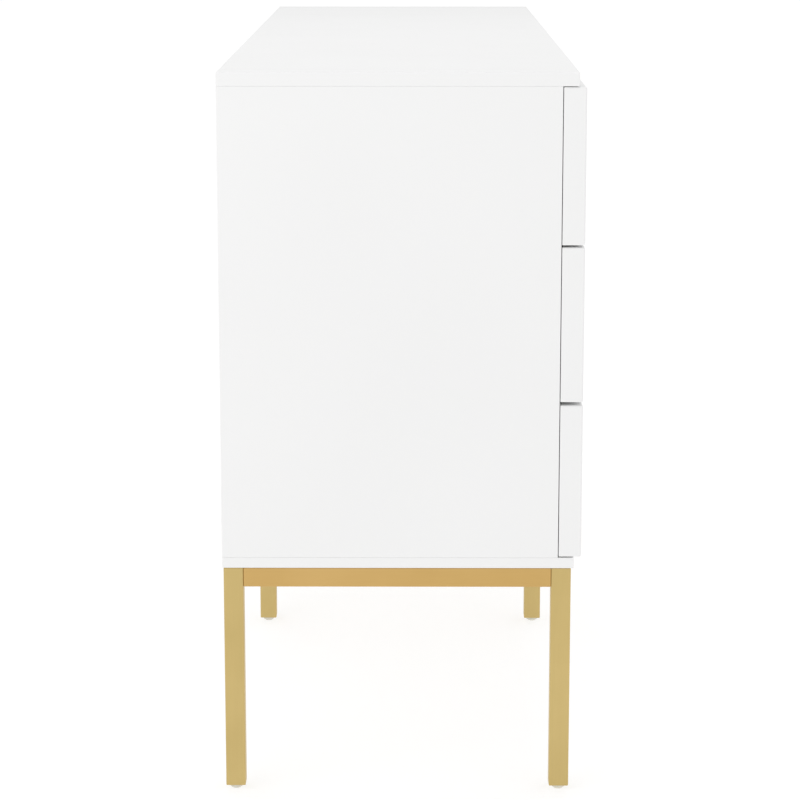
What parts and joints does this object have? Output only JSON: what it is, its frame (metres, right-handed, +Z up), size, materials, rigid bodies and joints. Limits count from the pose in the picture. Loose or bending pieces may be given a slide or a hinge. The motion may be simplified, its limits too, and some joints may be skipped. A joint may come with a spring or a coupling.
{
  "type": "sideboard buffet",
  "caption": "Low white lacquered sideboard on a gold square-tube base, with wide drawers on one side and a two-door cupboard with a shelf on the other.",
  "frame": {"origin": "on the floor, under the middle of the overall box", "axes": "+X along the length to the right as seen from the front, +Y towards the back, +Z up"},
  "size_m": [1.4, 0.4, 0.81],
  "materials": {
    "white_lacquer": "satin white lacquer on fibreboard",
    "back_board": "thin white painted fibreboard",
    "gold_metal": "satin gold powder coat",
    "cream_glide": "moulded cream plastic",
    "beech_dowel": "fluted hardwood",
    "zinc_steel": "zinc plated",
    "zinc_casting": "die-cast zinc",
    "drawer_board": "white foil-wrapped board",
    "grey_plastic": "moulded light grey plastic"
  },
  "bodies": {
    "root": {"top_panel": "white_lacquer", "bottom_panel": "white_lacquer", "side_panel_left": "white_lacquer", "side_panel_right": "white_lacquer", "centre_partition": "white_lacquer", "back_panel": "back_board", "cupboard_shelf": "white_lacquer", "shelf_pins": "zinc_steel", "panel_dowels": "beech_dowel", "cam_bolts": "zinc_steel", "cam_locks": "zinc_casting", "leg_front_left": "gold_metal", "leg_back_left": "gold_metal", "leg_front_middle": "gold_metal", "leg_back_middle": "gold_metal", "leg_front_right": "gold_metal", "leg_back_right": "gold_metal", "end_rail_left": "gold_metal", "middle_rail": "gold_metal", "end_rail_right": "gold_metal", "long_rail_front": "gold_metal", "long_rail_back": "gold_metal", "mounting_tabs": "gold_metal", "base_screws": "zinc_steel", "foot_glides": "cream_glide", "carcass_pivot_leaves": "zinc_steel", "pivot_pins": "zinc_steel", "latch_housings": "grey_plastic", "outer_runners": "zinc_steel"},
    "lower_drawer": {"lower_drawer_front": "white_lacquer", "lower_drawer_side_left": "drawer_board", "lower_drawer_side_right": "drawer_board", "lower_drawer_back": "drawer_board", "lower_drawer_bottom": "drawer_board", "lower_drawer_dowels": "beech_dowel", "lower_drawer_inner_runners": "zinc_steel"},
    "lower_runner_middle": {"lower_drawer_middle_runners": "zinc_steel"},
    "middle_drawer": {"middle_drawer_front": "white_lacquer", "middle_drawer_side_left": "drawer_board", "middle_drawer_side_right": "drawer_board", "middle_drawer_back": "drawer_board", "middle_drawer_bottom": "drawer_board", "middle_drawer_dowels": "beech_dowel", "middle_drawer_inner_runners": "zinc_steel"},
    "middle_runner_middle": {"middle_drawer_middle_runners": "zinc_steel"},
    "upper_drawer": {"upper_drawer_front": "white_lacquer", "upper_drawer_side_left": "drawer_board", "upper_drawer_side_right": "drawer_board", "upper_drawer_back": "drawer_board", "upper_drawer_bottom": "drawer_board", "upper_drawer_dowels": "beech_dowel", "upper_drawer_inner_runners": "zinc_steel"},
    "upper_runner_middle": {"upper_drawer_middle_runners": "zinc_steel"},
    "left_door": {"left_door": "white_lacquer", "left_door_pivot_leaves": "zinc_steel"},
    "left_plunger": {"left_latch_plunger": "grey_plastic"},
    "right_door": {"right_door": "white_lacquer", "right_door_pivot_leaves": "zinc_steel"},
    "right_plunger": {"right_latch_plunger": "grey_plastic"}
  },
  "joints": [
    {"name": "lower_drawer_slide", "type": "slide", "parent": "root", "child": "lower_drawer", "axis": [0, -1, 0], "range_m": [-0.0005, 0.33]},
    {"name": "lower_runner_slide", "type": "slide", "parent": "root", "child": "lower_runner_middle", "axis": [0, -1, 0], "range_m": [-0.00025, 0.165]},
    {"name": "middle_drawer_slide", "type": "slide", "parent": "root", "child": "middle_drawer", "axis": [0, -1, 0], "range_m": [-0.0005, 0.33]},
    {"name": "middle_runner_slide", "type": "slide", "parent": "root", "child": "middle_runner_middle", "axis": [0, -1, 0], "range_m": [-0.00025, 0.165]},
    {"name": "upper_drawer_slide", "type": "slide", "parent": "root", "child": "upper_drawer", "axis": [0, -1, 0], "range_m": [-0.0005, 0.33]},
    {"name": "upper_runner_slide", "type": "slide", "parent": "root", "child": "upper_runner_middle", "axis": [0, -1, 0], "range_m": [-0.00025, 0.165]},
    {"name": "left_door_hinge", "type": "hinge", "parent": "root", "child": "left_door", "pos_m": [0.006, -0.1955, 0.5336], "axis": [0, 0, -1], "range_deg": [0, 90]},
    {"name": "left_latch_press", "type": "slide", "parent": "root", "child": "left_plunger", "axis": [0, 1, 0], "range_m": [0, 0.0005], "stiffness_N_per_m": 400, "springref_m": -0.004},
    {"name": "right_door_hinge", "type": "hinge", "parent": "root", "child": "right_door", "pos_m": [0.6955, -0.1955, 0.5336], "axis": [0, 0, 1], "range_deg": [0, 90]},
    {"name": "right_latch_press", "type": "slide", "parent": "root", "child": "right_plunger", "axis": [0, 1, 0], "range_m": [0, 0.0005], "stiffness_N_per_m": 400, "springref_m": -0.004}
  ],
  "couplings": [
    {"joint": "lower_runner_slide", "follows": "lower_drawer_slide", "ratio": 0.5},
    {"joint": "middle_runner_slide", "follows": "middle_drawer_slide", "ratio": 0.5},
    {"joint": "upper_runner_slide", "follows": "upper_drawer_slide", "ratio": 0.5}
  ]
}
